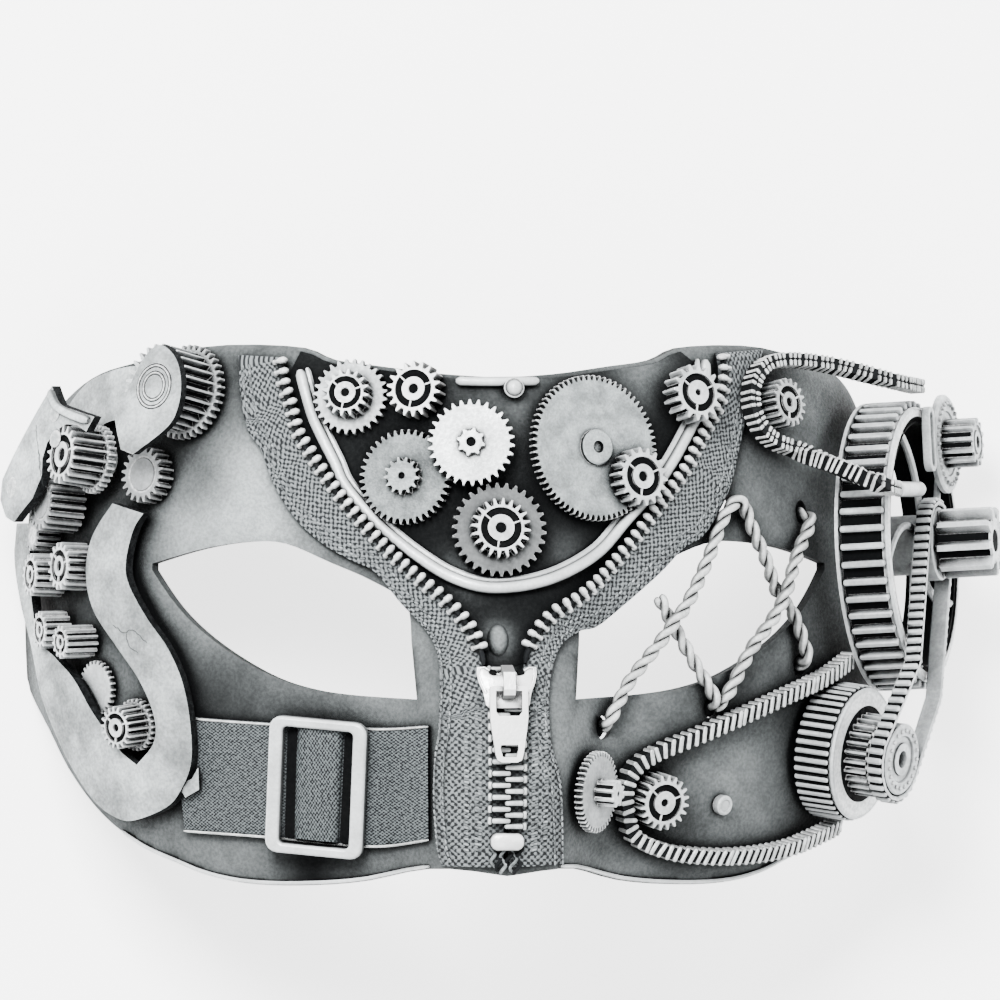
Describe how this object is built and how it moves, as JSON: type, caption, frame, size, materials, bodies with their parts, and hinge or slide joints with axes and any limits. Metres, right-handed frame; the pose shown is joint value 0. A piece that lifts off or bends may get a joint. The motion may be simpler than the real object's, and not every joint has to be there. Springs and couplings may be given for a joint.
{
  "type": "steampunk eye mask",
  "caption": "Rigid wrap-round half mask in antique silver with glued gears, an open zipper, lacing, belts, a strap with a buckle and a large spoked drum wheel.",
  "frame": {"origin": "under the middle of the whole mask, on the surface that the flat ends of both temples rest on", "axes": "+X to the right as the mask is looked at from the front, +Y towards the forehead, +Z straight out of the face"},
  "size_m": [0.1948, 0.1034, 0.0963],
  "materials": {
    "shell_paint": "antique silver paint over moulded plastic, dark wash in the recesses",
    "gear_silver": "worn antique silver, black wash between the teeth",
    "plate_silver": "rubbed silver faces with dark rough edges",
    "polished_silver": "smooth rubbed silver",
    "belt_silver": "dark washed belt with bright ribs",
    "zipper_tape": "coarse woven tape dry-brushed with silver",
    "woven_strap": "fine ribbed band, grey silver",
    "lacing_rope": "two-ply twisted cord, off-white silver with dark creases",
    "zipper_teeth": "silver teeth, dark between them",
    "zipper_bright": "bright white silver"
  },
  "bodies": {
    "mask": {"mask_shell": "shell_paint", "zipper_tape_left": "zipper_tape", "zipper_teeth_left": "zipper_teeth", "zipper_tape_right": "zipper_tape", "zipper_teeth_right": "zipper_teeth", "zipper_chain": "zipper_teeth", "zipper_bottom_stop": "zipper_bright", "zipper_slider": "zipper_bright", "panel_rim": "polished_silver", "panel_bar": "polished_silver", "panel_gear_a": "gear_silver", "panel_gear_b": "gear_silver", "panel_gear_c": "gear_silver", "panel_gear_d": "gear_silver", "panel_gear_e": "gear_silver", "panel_gear_f": "gear_silver", "panel_gear_g": "gear_silver", "panel_gear_h": "gear_silver", "nose_gear": "gear_silver", "belt_pinion": "gear_silver", "belt_pulley": "gear_silver", "long_gear": "gear_silver", "mid_gear": "gear_silver", "back_gear": "gear_silver", "under_gear": "gear_silver", "slot_gear_a": "gear_silver", "slot_gear_b": "gear_silver", "slot_gear_c": "gear_silver", "slot_gear_d": "gear_silver", "slot_gear_e": "gear_silver", "slot_gear_f": "gear_silver", "slot_gear_g": "gear_silver", "cheek_strap": "woven_strap", "strap_buckle": "polished_silver", "hook_plate": "plate_silver", "arm_link": "plate_silver", "side_plate": "plate_silver", "brow_plate": "plate_silver", "lacing_long": "lacing_rope", "lacing_short": "lacing_rope", "drum_wheel": "gear_silver", "axle_pinion": "gear_silver", "small_pinion": "gear_silver", "side_belt": "belt_silver", "belt_hub": "gear_silver", "lower_drum": "gear_silver", "upper_belt": "belt_silver", "belt_rod": "polished_silver", "lower_belt": "belt_silver", "round_boss": "gear_silver", "oval_link": "gear_silver"},
    "pull": {"zipper_pull_tab": "zipper_bright"}
  },
  "joints": [
    {"name": "pull_swing", "type": "hinge", "parent": "mask", "child": "pull", "pos_m": [-0.00752, -0.01373, 0.09404], "axis": [-1, -0.0009, -0.0079], "range_deg": [0, 150]}
  ]
}
